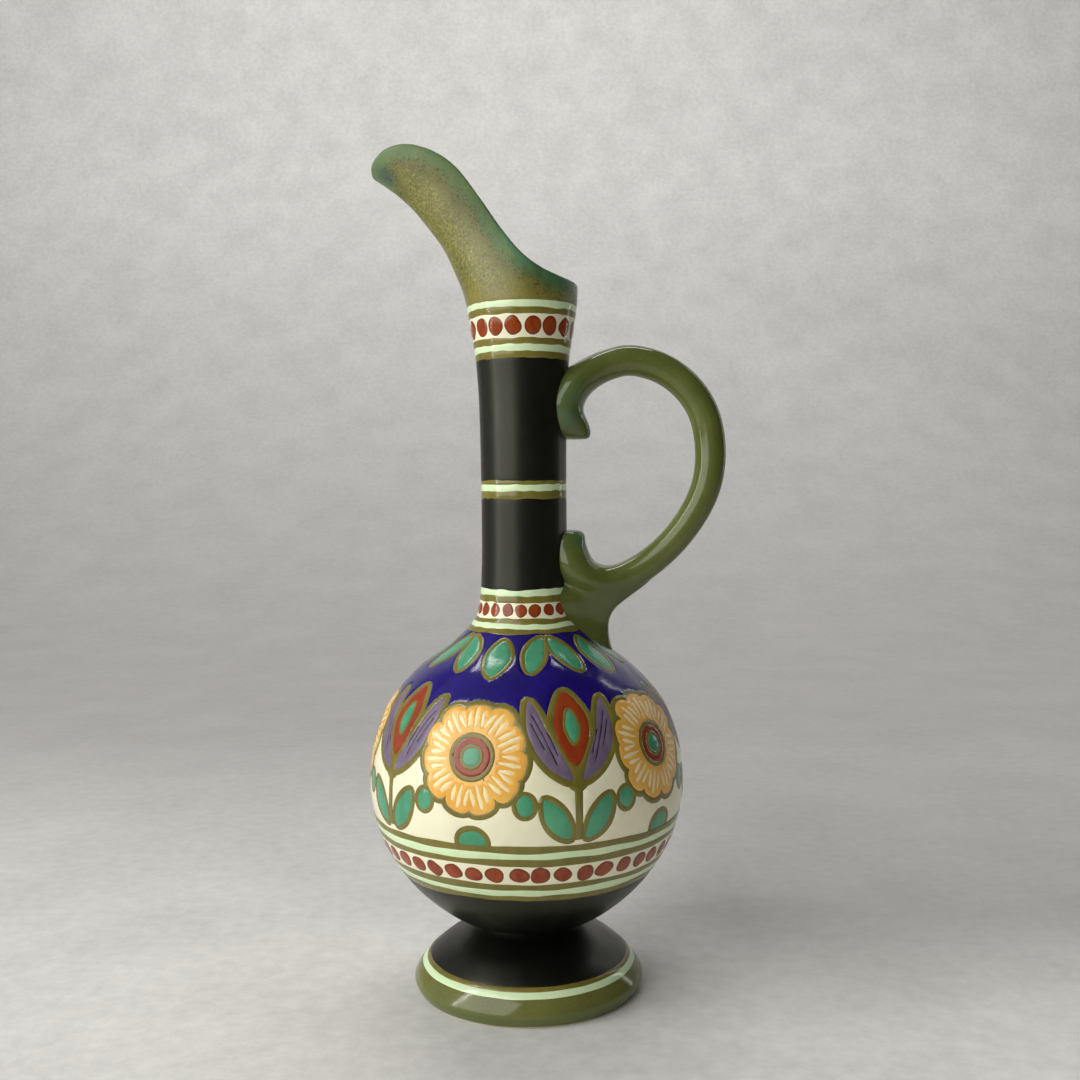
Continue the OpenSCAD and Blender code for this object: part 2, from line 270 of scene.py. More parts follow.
def bead_row(low, high, count, seed):
    """Row of brush-dabbed enamel beads: flattened domes with uneven oval outlines.

    Returns also each vertex's share of the way to its bead's edge."""
    n, back = BEAD_SIDES, BEAD_RINGS * BEAD_SIDES
    sides = [(j, (j + 1) % n) for j in range(n)]
    faces = [(r + j, r + n + j, r + n + k, r + k) for r in range(0, back, n) for j, k in sides]
    faces += [(back + n, j, k) for j, k in sides]
    faces += [(back + n + 1, back + k, back + j) for j, k in sides]
    shares = [min(1, ring / BEAD_RINGS) for ring in range(1, BEAD_RINGS + 2) for _ in sides]
    shares += [0, 1]

    own = np.random.default_rng(seed)
    middle = (low + high) / 2
    r = float(radius(middle))
    room = TAU * r / count
    height = float(arc_at(high) - arc_at(low))
    a = circle(n)
    parts = []
    for i in range(count):
        turn = BEAD_PHASE + (i + 0.5) * TAU / count + own.normal(0, 0.03) * room / r
        half_w = min(room * BEAD_BROAD, height * 0.5) * own.uniform(0.92, 1.04)
        half_h = height * 0.5 * BEAD_TALL * own.uniform(0.94, 1.06)
        lean = own.normal(0, 0.06)
        lumps = [(own.uniform(0, 0.045), own.uniform(0, TAU)) for _ in range(3)]
        centre = arc_at(middle) + own.normal(0, 0.02) * height
        swell = 1 + sum(s * np.cos((k + 2) * a + p) for k, (s, p) in enumerate(lumps))
        rows = []
        for ring in range(1, BEAD_RINGS + 1):
            share = (ring / BEAD_RINGS) ** 0.8
            y = half_h * share * np.sin(a) * swell
            x = half_w * share * np.cos(a) * swell + lean * y
            rows.append((turn + x / r, centre + y, BEAD_RELIEF * (1 - share ** 5) + BEAD_LIFT))
        tip = np.array([turn]), np.array([centre])
        rows += [(*rows[-1][:2], -BEAD_DEPTH), (*tip, BEAD_RELIEF + BEAD_LIFT), (*tip, -BEAD_DEPTH)]
        points = [on_surface(t, level_at(arc), relief) for t, arc, relief in rows]
        parts.append((np.concatenate(points), faces))
    return *joined(parts), shares * count


# ---- Materials ----


def srgb(*screen):
    """Linear colour from 8-bit screen values."""
    v = np.array(screen) / 255
    return (*np.where(v <= 0.04045, v / 12.92, ((v + 0.055) / 1.055) ** 2.4), 1)


class Nodes:
    """Short way to write a material or a world. Colours are 8-bit screen values."""

    def __init__(self, name, kind="materials", shader="Principled BSDF", place="Object"):
        self.owner = getattr(bpy.data, kind).new(name)
        self.owner.use_nodes = True
        self.tree = self.owner.node_tree
        self.shader = self.tree.nodes[shader]
        self.place = self.new("ShaderNodeTexCoord").outputs[place]

    def new(self, kind, **values):
        node = self.tree.nodes.new(kind)
        for key, value in values.items():
            setattr(node, key, value)
        return node

    def link(self, source, target):
        self.tree.links.new(source, target)

    def put(self, value, socket):
        """Links another socket's value, or sets a constant."""
        if isinstance(value, bpy.types.NodeSocket):
            self.link(value, socket)
        else:
            socket.default_value = srgb(*value) if socket.type == "RGBA" else value

    def axes(self):
        node = self.new("ShaderNodeSeparateXYZ")
        self.link(self.place, node.inputs["Vector"])
        return list(node.outputs)

    def noise(self, scale, detail=3.0, roughness=0.5, stretch=(1, 1, 1)):
        mapping = self.new("ShaderNodeMapping")
        mapping.inputs["Scale"].default_value = stretch
        self.link(self.place, mapping.inputs["Vector"])
        node = self.new("ShaderNodeTexNoise")
        for name, value in (("Scale", scale), ("Detail", detail), ("Roughness", roughness)):
            node.inputs[name].default_value = value
        self.link(mapping.outputs["Vector"], node.inputs["Vector"])
        return node.outputs["Fac"]

    def ramp(self, value, *stops):
        node = self.new("ShaderNodeValToRGB")
        elements = node.color_ramp.elements
        while len(elements) < len(stops):
            elements.new(0.5)
        for element, (position, colour) in zip(elements, stops):
            element.position = position
            element.color = srgb(*colour)
        self.link(value, node.inputs["Fac"])
        return node.outputs["Color"]

    def mix(self, share, a, b):
        node = self.new("ShaderNodeMix", data_type="RGBA")
        # the node has sockets of the same names for numbers and for colours
        for name, kind, value in (("Factor", "VALUE", share), ("A", "RGBA", a), ("B", "RGBA", b)):
            self.put(value, next(s for s in node.inputs if s.name == name and s.type == kind))
        return next(s for s in node.outputs if s.type == "RGBA")

    def number(self, operation, *values, clamp=False):
        node = self.new("ShaderNodeMath", operation=operation, use_clamp=clamp)
        for socket, value in zip(node.inputs, values):
            self.put(value, socket)
        return node.outputs["Value"]

    def times(self, a, b):
        return self.number("MULTIPLY", a, b)

    def plus(self, a, b, share=1.0):
        """a and a share of b."""
        return self.number("ADD", a, b if share == 1.0 else self.times(b, share))

    def between(self, value, low, high, out_low=0.0, out_high=1.0):
        """Goes from out_low to out_high while the value goes from low to high."""
        node = self.new("ShaderNodeMapRange", clamp=True)
        for socket, number in zip(("From Min", "From Max", "To Min", "To Max"),
                                  (low, high, out_low, out_high)):
            node.inputs[socket].default_value = number
        self.link(value, node.inputs["Value"])
        return node.outputs["Result"]

    def attribute(self, name):
        return self.new("ShaderNodeAttribute", attribute_name=name).outputs["Fac"]

    def colour(self, socket):
        self.link(socket, self.shader.inputs["Base Color"])

    def gloss(self, low, high, noise):
        self.link(self.between(noise, 0.3, 0.7, low, high), self.shader.inputs["Roughness"])

    def bump(self, height, distance_mm):
        node = self.new("ShaderNodeBump")
        node.inputs["Distance"].default_value = distance_mm * MM
        self.link(height, node.inputs["Height"])
        self.link(node.outputs["Normal"], self.shader.inputs["Normal"])


def enamel(name, light, dark, rough, bump_mm):
    """Brushed glaze that pools and thins between two tones, under an uneven shine."""
    n = Nodes(name)
    brush = n.noise(350, detail=4, stretch=(1, 1, 0.45))
    cloud = n.noise(90, detail=2)
    both = n.number("MULTIPLY_ADD", cloud, 0.5, n.times(brush, 0.5))
    n.colour(n.ramp(n.between(both, 0.3, 0.7), (0, dark), (1, light)))
    n.gloss(*rough, n.noise(140))
    n.bump(n.plus(n.noise(260, detail=2), brush, 0.25), bump_mm)
    n.shader.inputs["IOR"].default_value = 1.52
    return n.owner


def bead_enamel():
    """Red-brown dabs, darker where they gather at their edge (attribute pool)."""
    n = Nodes("bead_enamel")
    brush = n.noise(420, detail=4, stretch=(1, 1, 0.5))
    face = n.ramp(brush, (0.34, (134, 52, 12)), (0.66, (160, 72, 22)))
    n.colour(n.mix(n.between(n.attribute("pool"), 0.62, 0.98, 0.0, 0.85), face, (88, 26, 12)))
    n.gloss(0.1, 0.17, n.noise(180))
    n.bump(n.plus(n.noise(300, detail=2), brush, 0.3), 0.05)
    return n.owner


def black_glaze():
    """Satin black: dark with a faint warm cloud, soft wide highlights."""
    n = Nodes("satin_black_glaze")
    n.colour(n.ramp(n.noise(60, detail=4), (0.3, (7, 7, 7)), (0.75, (13, 12, 10))))
    n.gloss(0.3, 0.38, n.noise(220))
    n.bump(n.noise(1500), 0.02)
    n.shader.inputs["Specular Tint"].default_value = (0.92, 0.94, 0.72, 1)
    return n.owner


def green_glaze(name, base, dark, pool, speck):
    """Glossy olive glaze that turns green where it pools (attribute pool, 0 to 1)."""
    n = Nodes(name)
    fine = n.noise(2600, roughness=0.6)
    ground = n.ramp(n.noise(55), (0.32, dark), (0.7, base))
    ground = n.mix(n.between(fine, 0.5, 0.7, 0.0, 0.4), ground, speck)
    edge = n.plus(n.attribute("pool"), n.between(n.noise(240, detail=4), 0.3, 0.7, -0.16, 0.16))
    n.colour(n.mix(n.between(edge, 0.15, 0.95), ground, pool))
    n.gloss(0.11, 0.16, n.noise(160))
    n.bump(n.plus(n.noise(200, detail=2), fine, 0.15), 0.04)
    return n.owner


def spout_glaze():
    """Crystalline olive-gold glaze, green along the rim, gold at its foot; painted glints and
    highlight, painted rim shade.

    Attributes: rim_mm (distance from the rim), foot_share (0 at the collar, 1 higher up),
    blue_spot, inside (1 on the trough's inner skin)."""
    n = Nodes("spout_crystal_glaze")
    grains = n.noise(1300, detail=6, roughness=0.7)
    drift = n.noise(120, detail=4, stretch=(1, 1, 0.6))
    ragged = n.between(n.noise(300, detail=6, roughness=0.65), 0.25, 0.75, -2.0, 2.0)
    rim = n.plus(n.attribute("rim_mm"), ragged)

    gold = n.ramp(n.plus(n.times(grains, 0.6), drift, 0.4), (0.36, (98, 98, 44)),
                  (0.5, (120, 118, 54)), (0.6, (134, 130, 64)), (0.68, (166, 154, 88)))
    # light gold flecks: the glaze's crystals, lightened as painted glints of its sparkle
    gold = n.mix(n.between(grains, 0.54, 0.62, 0.0, 0.5), gold, (186, 174, 110))
    gold = n.mix(n.between(grains, 0.4, 0.46, 0.45, 0.0), gold, (84, 84, 40))
    gold = n.mix(n.between(n.attribute("foot_share"), 0.0, 1.0, 0.75, 0.0), gold, (136, 126, 56))

    green = n.ramp(drift, (0.3, (60, 84, 54)), (0.5, (84, 110, 66)), (0.7, (108, 134, 82)))
    # painted highlight: the green turns paler towards the beak's top, as if the lip were lit there
    tip = n.between(n.axes()[2], 0.238, 0.264, 0.0, 0.7)
    green = n.mix(tip, green, (120, 142, 90))
    body = n.mix(n.between(rim, 3.6, 6.6, 1.0, 0.0), gold, green)

    # dark grains along the green, then teal, and a painted shaded line along the rim itself
    specks = n.times(n.between(grains, 0.52, 0.58), n.between(rim, 3.0, 5.0))
    specks = n.times(specks, n.between(rim, 7.0, 10.0, 1.0, 0.0))
    body = n.mix(n.times(specks, 0.85), body, (38, 46, 26))
    teal = n.times(n.between(rim, 0.8, 3.4, 1.0, 0.0), n.between(drift, 0.4, 0.6, 0.15, 0.7))
    # less teal under that painted highlight at the beak's top
    teal = n.number("SUBTRACT", teal, n.times(tip, 0.5), clamp=True)
    body = n.mix(teal, body, (62, 122, 94))
    # painted shade: a dark line along the rim's edge
    body = n.mix(n.between(n.attribute("rim_mm"), 0.0, 0.8, 0.6, 0.0), body, (26, 50, 40))
    body = n.mix(n.attribute("blue_spot"), body, (16, 60, 80))
    inside = n.ramp(drift, (0.35, (52, 76, 48)), (0.65, (84, 104, 62)))
    n.colour(n.mix(n.attribute("inside"), body, inside))
    n.gloss(0.12, 0.26, grains)
    n.bump(n.plus(grains, n.noise(420), 0.4), 0.18)
    return n.owner


def clay_material():
    """Unglazed cream biscuit with fine throwing lines and pores."""
    n = Nodes("clay_biscuit")
    fine = n.noise(1800, detail=4)
    n.colour(n.ramp(n.noise(60, detail=4), (0.3, (206, 190, 156)), (0.7, (226, 212, 180))))
    n.gloss(0.72, 0.9, fine)
    n.bump(n.plus(fine, n.noise(300, detail=1, stretch=(0.02, 0.02, 3))), 0.08)
    return n.owner


def inner_glaze():
    """Thin clear glaze inside the vessel."""
    n = Nodes("inner_glaze")
    n.colour(n.ramp(n.noise(45, detail=4), (0.3, (196, 186, 148)), (0.7, (222, 214, 180))))
    n.gloss(0.2, 0.35, n.noise(200))
    n.bump(n.noise(260), 0.06)
    return n.owner


MATERIALS = {colour: enamel(*look) for colour, look in {
    # material, light tone, dark tone, roughness, bump in mm
    "cream": ("cream_glaze", (250, 247, 216), (242, 237, 202), (0.08, 0.14), 0.03),
    "mint": ("mint_enamel", (230, 249, 204), (216, 240, 190), (0.09, 0.15), 0.04),
    "olive": ("olive_gold_enamel", (134, 124, 52), (108, 100, 38), (0.14, 0.22), 0.06),
    "rust": ("rust_enamel", (160, 66, 26), (134, 48, 14), (0.12, 0.2), 0.05),
    "cobalt": ("cobalt_enamel", (34, 12, 124), (18, 5, 90), (0.1, 0.17), 0.05),
    "turquoise": ("turquoise_enamel", (88, 168, 126), (60, 140, 104), (0.12, 0.2), 0.08),
    "ochre": ("ochre_enamel", (248, 196, 96), (232, 166, 62), (0.12, 0.2), 0.05),
    "streak": ("cream_streak_enamel", (252, 238, 190), (250, 222, 158), (0.18, 0.28), 0.05),
    "mauve": ("mauve_enamel", (132, 116, 142), (104, 90, 112), (0.24, 0.36), 0.08),
    "vein": ("dark_vein", (52, 36, 56), (30, 20, 34), (0.3, 0.4), 0.05),
}.items()}
MATERIALS["black"] = black_glaze()
MATERIALS["bead"] = bead_enamel()

# ---- Painted bands ----

# Levels of the painted edges, from the top down
BELLY_BAND = [60.8, 58.7, 56.6, 54.5, 48.1, 46.0, 43.9, 41.8]
NECK_BASE = [133.7, 131.6, 129.5, 124.4, 122.9, 121.4, 119.9]
NECK_LINE = [168.9, 167.64, 165.54, 163.02]
COLLAR = [226.0, 223.9, 221.8, 214.4, 212.3, 210.2, 208.1]
FOOT_LINE = [11.2, 10.15, 8.575]
BARE_EDGE = 0.6

LINE_RELIEF = {"olive": 0.10, "mint": 0.07, "cream": 0.04, "black": 0.05}


def lines(edges, *picks):
    """Lower and upper level of the picked stripes in a list of edges."""
    return [(edges[i + 1], edges[i]) for i in picks]


BANDS = (
    # piece, colour and slot, stripes, CAD node that it replaces
    ("belly_lines_olive", "olive", lines(BELLY_BAND, 0, 2, 4, 6), "belly_band_olive"),
    ("belly_lines_mint", "mint", lines(BELLY_BAND, 1, 5), "belly_band_mint"),
    ("belly_strip_cream", "cream", lines(BELLY_BAND, 3), "belly_band_ground"),
    ("neck_foot_lines_olive", "olive", lines(NECK_BASE, 1, 3, 5), "neck_base_olive"),
    ("neck_foot_lines_mint", "mint", lines(NECK_BASE, 0, 4), "neck_base_mint"),
    ("neck_foot_strip_cream", "cream", lines(NECK_BASE, 2), "neck_base_ground"),
    ("neck_lines_olive", "olive", lines(NECK_LINE, 0, 2), "neck_line_olive"),
    ("neck_line_mint_paint", "mint", lines(NECK_LINE, 1), "neck_line_mint"),
    ("collar_lines_olive", "olive", lines(COLLAR, 1, 3, 5), "collar_olive"),
    ("collar_lines_mint", "mint", lines(COLLAR, 0, 4), "collar_mint"),
    ("collar_strip_cream", "cream", lines(COLLAR, 2), "collar_ground"),
    ("foot_line_olive_paint", "olive", lines(FOOT_LINE, 0), "foot_olive_line"),
    ("foot_line_mint_paint", "mint", lines(FOOT_LINE, 1), "foot_mint_line"),
    ("neck_black_glaze_low", "black", [(NECK_BASE[0], NECK_LINE[3])], "neck_black_lower"),
    ("neck_black_glaze_high", "black", [(NECK_LINE[0], COLLAR[6])], "neck_black_upper"),
    ("base_black_glaze", "black", [(FOOT_LINE[0], BELLY_BAND[7])], "black_glaze_base"),
)
for name, colour, stripes, node in BANDS:
    coats = joined([ring_band(low, high, LINE_RELIEF[colour]) for low, high in stripes])
    add_piece(name, *coats, MATERIALS[colour], colour, [node])

for name, (high, low), count, seed, node in (
        ("belly_bead_row", BELLY_BAND[3:5], 44, 5, "belly_beads"),
        ("neck_foot_bead_row", NECK_BASE[2:4], 21, 6, "neck_base_beads"),
        ("collar_bead_row", COLLAR[2:4], 17, 9, "collar_beads")):
    verts, faces, shares = bead_row(low, high, count, seed)
    beads = add_piece(name, verts, faces, MATERIALS["bead"], "rust", [node])
    with_values(beads, "pool", shares)

verts, faces = ring_band(BARE_EDGE, FOOT_LINE[2], 0.0, row_gap=0.6)
rim_look = green_glaze("foot_rim_glaze_look", base=(114, 114, 56), dark=(96, 98, 46),
                       pool=(98, 110, 60), speck=(142, 144, 86))
rim_glaze = add_piece("foot_rim_coat", verts, faces, rim_look, "rim_glaze", ["foot_rim_glaze"])
# the glaze pools below 7 mm and most at 2 mm
rim_levels = coordinates(rim_glaze.data)[:, 2]
with_values(rim_glaze, "pool", 0.8 * np.clip((7.0 - rim_levels) / 5.0, 0, 1))

# ---- Painted flowers of the belly ----

REPEATS = 5
PAINT_LOW, PAINT_HIGH = BELLY_BAND[0], NECK_BASE[6]
ARC_LOW, ARC_HIGH = float(arc_at(PAINT_LOW)), float(arc_at(PAINT_HIGH))
FIRST_ANGLE = math.radians(-108)
BRUSH_STEP = 0.62
GROUND = -0.22      # relief of the flower coats at their edges
BELLY_BACK = -0.5   # and at their back

# Layers of brush shapes: colour, outline in mm right and up, angle and arc of its origin
outlines, fields, details = [], [], []


def resampled(points):
    """Closed smooth curve through points, in even steps."""
    p = np.asarray(points, float)
    steps = 8
    loop = curve(np.concatenate([p[-2:], p, p[:2]]), steps)[2 * steps:-steps]
    length = np.concatenate([[0], np.cumsum(np.linalg.norm(np.diff(loop, axis=0), axis=1))])
    n = max(10, int(length[-1] / BRUSH_STEP))
    at = np.arange(n) * length[-1] / n
    return columns(*(np.interp(at, length, loop[:, k]) for k in range(2)))


def normals(p):
    along = np.roll(p, -1, axis=0) - np.roll(p, 1, axis=0)
    along /= np.maximum(np.linalg.norm(along, axis=1), 1e-9)[:, None]
    out = columns(along[:, 1], -along[:, 0])
    area = np.sum(p[:, 0] * np.roll(p[:, 1], -1) - np.roll(p[:, 0], -1) * p[:, 1])
    return out if area > 0 else -out


def grown(points, by):
    """A brush shape with an even margin round it."""
    p = resampled(points)
    return p + normals(p) * by


def shaken(points, size):
    """A brush shape drawn with a slightly unsteady hand."""
    p = resampled(points)
    turn = np.arange(len(p)) * TAU
    lean = size * (np.sin(turn * 2 / len(p) + rng.uniform(0, TAU))
                   + 0.6 * np.sin(turn * 5 / len(p) + rng.uniform(0, TAU)))
    return p + normals(p) * lean[:, None]


def placed(points, angle, arc):
    """Brush points put on the belly round a point, as angle and arc."""
    p = np.asarray(points, float)
    a = arc + p[:, 1]
    return columns(angle + p[:, 0] / radius(level_at(a)), a)


def turned(points, degrees, at=(0, 0)):
    """Points turned about the origin and then moved."""
    a = math.radians(degrees)
    p = np.asarray(points, float)
    return columns(at[0] + p[:, 0] * math.cos(a) - p[:, 1] * math.sin(a),
                   at[1] + p[:, 0] * math.sin(a) + p[:, 1] * math.cos(a))


def mirrored(points):
    """Points seen from the other side, in the same sense of turning."""
    return [(-x, y) for x, y in points][::-1]


def even(start, right, end):
    """Shape along +Y from its right side's points."""
    return [(0, start), *right, (0, end), *mirrored(right)]


def petal(start, length, width, tip):
    """Petal along +Y; tip is the share from its widest place to its end."""
    w = width / 2
    return even(start, [(w * 0.45, start + length * 0.12), (w * 0.85, start + length * 0.45),
                        (w, start + length * (1 - tip)), (w * 0.72, start + length * 0.93)],
                start + length)


def leaf(length, width, lean=0.0):
    """Pointed leaf along +Y from the origin."""
    shares = (0.1, 0.26, 0.44, 0.62, 0.79, 0.92)
    half = [width / 2 * math.sin(math.pi * t) ** 0.65 for t in shares]
    right = [(w + lean * t * t, length * t) for t, w in zip(shares, half)]
    left = [(-w + lean * t * t, length * t) for t, w in zip(shares, half)]
    return [(0, 0), *right, (lean, length), *left[::-1]]


def disc(r, y=0.0, squash=1.0):
    return [(r * math.cos(TAU * k / 10), y + squash * r * math.sin(TAU * k / 10))
            for k in range(10)]


def outlined(colour, points, angle, arc, width=1.9):
    """A colour field inside its olive outline."""
    outlines.append(("olive", grown(points, width), angle, arc))
    fields.append((colour, points, angle, arc))


def rosette(angle, arc):
    """Round flower: ochre petals with cream streaks about a ringed eye."""
    count = 11
    for k in range(count):
        turn = 360 * k / count + rng.normal(0, 1.5)
        reach = 11.6 * rng.uniform(0.94, 1.05)
        outlined("ochre", turned(petal(5.4, reach, 8.9, 0.26), turn), angle, arc, 1.75)
        for side in (-0.27, 0, 0.27):
            streak = petal(8.2 + abs(side) * 3, 7.6 - 9 * abs(side), 1.25, 0.35)
            details.append(("streak", turned(np.add(streak, (side * 8.0, 0)), turn), angle, arc))
    for colour, r in (("olive", 7.4), ("rust", 5.9), ("olive", 3.9), ("turquoise", 2.7)):
        details.append((colour, disc(r), angle, arc))


SIDE_PETAL = [(1.6, 1.5), (7.5, 4.2), (12.2, 10.5), (13.6, 18.5), (11.8, 26.5), (9.4, 22.5),
              (7.8, 16), (4.6, 9.5)]
HEART_PETAL = even(5.5, [(3.6, 10.5), (5.6, 16.5), (4.6, 22.5)], 29.5)
HEART_DROP = even(12.5, [(1.9, 16.5), (1.5, 20)], 23)
STEM = [(-1.1, -16.5), (1.1, -16.5), (1.2, -8), (1.3, 2), (-1.3, 2), (-1.2, -8)]
VEIN_HALF = 0.2


def tulip(angle, arc):
    """Upright flower: two veined mauve petals round a rust heart."""
    for side, shape in ((1, SIDE_PETAL), (-1, mirrored(SIDE_PETAL))):
        outlined("mauve", shape, angle, arc)
        for dx, low, high in ((0, 6.5, 21.5), (-1.6, 9, 16), (1.7, 11, 19)):
            spine = [(side * (5.6 + dx + 0.36 * (y - 5)), y) for y in np.linspace(low, high, 5)]
            vein = [(x - VEIN_HALF, y) for x, y in spine]
            vein += [(x + VEIN_HALF, y) for x, y in spine[::-1]]
            details.append(("vein", vein, angle, arc))
    outlined("rust", HEART_PETAL, angle, arc)
    details.append(("olive", grown(HEART_DROP, 0.9), angle, arc))
    details.append(("turquoise", HEART_DROP, angle, arc))
    for shape in (STEM, disc(3.4, y=1.2)):
        outlines.append(("olive", shape, angle, arc))
    for side in (-1, 1):
        blade = turned(leaf(14.5, 6.2, -side * 1.2), -side * 38, (side * 2.6, -16))
        outlined("turquoise", blade, angle, arc, 1.6)


for i in range(REPEATS):
    here = FIRST_ANGLE + i * TAU / REPEATS
    across = here + TAU / REPEATS / 2
    rosette(here + rng.normal(0, 0.01), ARC_LOW + 26.5)
    tulip(across, ARC_LOW + 18.0)
    # half discs that stand on the band, and drops between the flowers
    outlined("turquoise", disc(4.2, y=0.6, squash=0.85), here, ARC_LOW + 0.5, 1.7)
    for side in (-1, 1):
        outlined("turquoise", disc(2.6, squash=1.15), here + side * TAU / REPEATS / 4,
                 ARC_LOW + 12.5, 1.4)
    # leaves that hang from the neck's band into the cobalt
    outlined("turquoise", turned(leaf(16, 7.6), 180), here, ARC_HIGH - 2.6, 1.5)
    for side in (-1, 1):
        hanging = turned(leaf(16.5, 5.8, side * 1.4), 180 + side * 30)
        outlined("turquoise", hanging, across + side * 0.05, ARC_HIGH - 1.6, 1.5)

# Regions in painting order: colour and outline as angle and arc
regions = [(colour, placed(points, angle, arc)) for colour, points, angle, arc in outlines]
for layer, hand in ((fields, 0.12), (details, 0.05)):
    regions += [(colour, placed(shaken(points, hand), angle, arc))
                for colour, points, angle, arc in layer]

# Colours in painting order: relief, slot and the CAD node that the coat replaces
BELLY_COATS = {
    "cream": (0.10, "cream", ["belly_ground"]),
    "cobalt": (0.12, "cobalt", ["shoulder_ground"]),
    "olive": (0.17, "olive", []),
    "mauve": (0.13, "cobalt", []),
    "ochre": (0.13, "cream", []),
    "rust": (0.13, "rust", []),
    "streak": (0.13, "cream", []),
    "turquoise": (0.13, "mint", []),
    "vein": (0.05, "black", []),
}
PALETTE = list(BELLY_COATS)

# The painted zone laid flat: x round the belly, y up its outline
FLAT_W = TAU * BELLY_R
FLAT_X = np.linspace(0, FLAT_W, 521)
SEAM_ROWS = 50


def border():
    """Flat lines of the zone's edges, and of the olive line below the cobalt."""
    angle = FLAT_X / BELLY_R
    bottom, top = drawn_edge(PAINT_LOW, angle), drawn_edge(PAINT_HIGH, angle)
    turn = 2 * REPEATS * (angle - FIRST_ANGLE)
    scallop = 37.5 + 5.5 * np.cos(turn) - 1.6 * np.cos(2 * turn)
    upper, lower = (ARC_LOW + scallop + shift + wobble(angle, 0.25, 77) for shift in (0.0, -2.0))
    return bottom, top, upper, lower


def drawn_lines(bottom, top, upper, lower):
    """Points and edges of all drawn lines, and the brush shapes as flat loops."""
    points, edges, loops = [], [], []
    seam = bottom[0] + np.linspace(0, 1, SEAM_ROWS) * (top[0] - bottom[0])
    left = np.zeros(SEAM_ROWS)
    for x, y in ((FLAT_X, bottom), (FLAT_X, top), (left, seam), (left + FLAT_W, seam),
                 (FLAT_X, upper), (FLAT_X, lower)):
        base = len(points)
        points.extend(columns(x, y))
        edges.extend((base + j, base + j + 1) for j in range(len(x) - 1))
    for colour, outline in regions:
        # a region may show on both sides of the seam behind the handle
        for turn in (-TAU, 0.0, TAU):
            loop = columns((outline[:, 0] + turn) * BELLY_R, outline[:, 1])
            if loop[:, 0].max() < 0.3 or loop[:, 0].min() > FLAT_W - 0.3:
                continue
            loops.append((colour, loop))
            inside = np.nonzero((loop[:, 0] > 0.05) & (loop[:, 0] < FLAT_W - 0.05))[0].tolist()
            index = {j: len(points) + k for k, j in enumerate(inside)}
            points.extend(loop[inside])
            after = {j: (j + 1) % len(loop) for j in inside}
            edges.extend((index[j], index[after[j]]) for j in inside if after[j] in index)
    return points, edges, loops


def free_points(points, loops):
    """An even grid, and rows beside each brush shape for its rounded edge."""
    own = np.random.default_rng(3)
    gap, shake = 1.5, 0.3
    grid = [(x + own.uniform(-shake, shake), y + own.uniform(-shake, shake))
            for x in np.arange(gap, FLAT_W - gap / 2, gap)
            for y in np.arange(ARC_LOW + gap / 2, ARC_HIGH, gap)]
    beside = [(x, y) for _, loop in loops for by in (-0.42, 0.42)
              for x, y in (loop + normals(loop) * by)[::2]
              if 0.5 < x < FLAT_W - 0.5 and ARC_LOW + 0.5 < y < ARC_HIGH - 0.6]
    free = []
    for found, room in ((grid, 0.75), (beside, 0.36)):
        away = distances(*(np.insert(p, 2, 0, axis=1) for p in (points, found)))
        free += [p for p, d in zip(found, away) if d > room]
    return free


def winding(points, loop):
    """Winding number of a closed loop round each point."""
    a, b = loop, np.roll(loop, -1, axis=0)
    px, py = points[:, 0, None], points[:, 1, None]
    side = (b[:, 0] - a[:, 0]) * (py - a[:, 1]) - (px - a[:, 0]) * (b[:, 1] - a[:, 1])
    up = (a[:, 1] <= py) & (b[:, 1] > py) & (side > 0)
    down = (a[:, 1] > py) & (b[:, 1] <= py) & (side < 0)
    return up.sum(axis=1) - down.sum(axis=1)


def edges_of(triangles):
    return np.concatenate([triangles[:, side] for side in ([0, 1], [1, 2], [2, 0])])


def without_specks(triangles, colour_of):
    """Gives a triangle without a neighbour of its own colour the colour beside it."""
    edges = np.sort(edges_of(triangles), axis=1)
    owner = np.tile(np.arange(len(triangles)), 3)
    order = np.lexsort(edges.T)
    edges, owner = edges[order], owner[order]
    shared = np.nonzero(np.all(edges[1:] == edges[:-1], axis=1))[0]
    one, other = owner[shared], owner[shared + 1]
    alike = colour_of[one] == colour_of[other]
    lone = np.ones(len(triangles), bool)
    lone[one[alike]] = lone[other[alike]] = False
    out = colour_of.copy()
    for a, b in ((one, other), (other, one)):
        out[a[lone[a]]] = colour_of[b[lone[a]]]
    return out


def boundary_points(count, triangles, colour_of):
    """Vertices at which two colours meet."""
    seen = np.zeros((count, len(PALETTE)), bool)
    seen[triangles, colour_of[:, None]] = True
    return np.nonzero(seen.sum(axis=1) > 1)[0]


def open_edges(triangles):
    """Directed edges that only one triangle uses."""
    have = {tuple(e) for e in edges_of(triangles)}
    return [e for e in have if (e[1], e[0]) not in have]


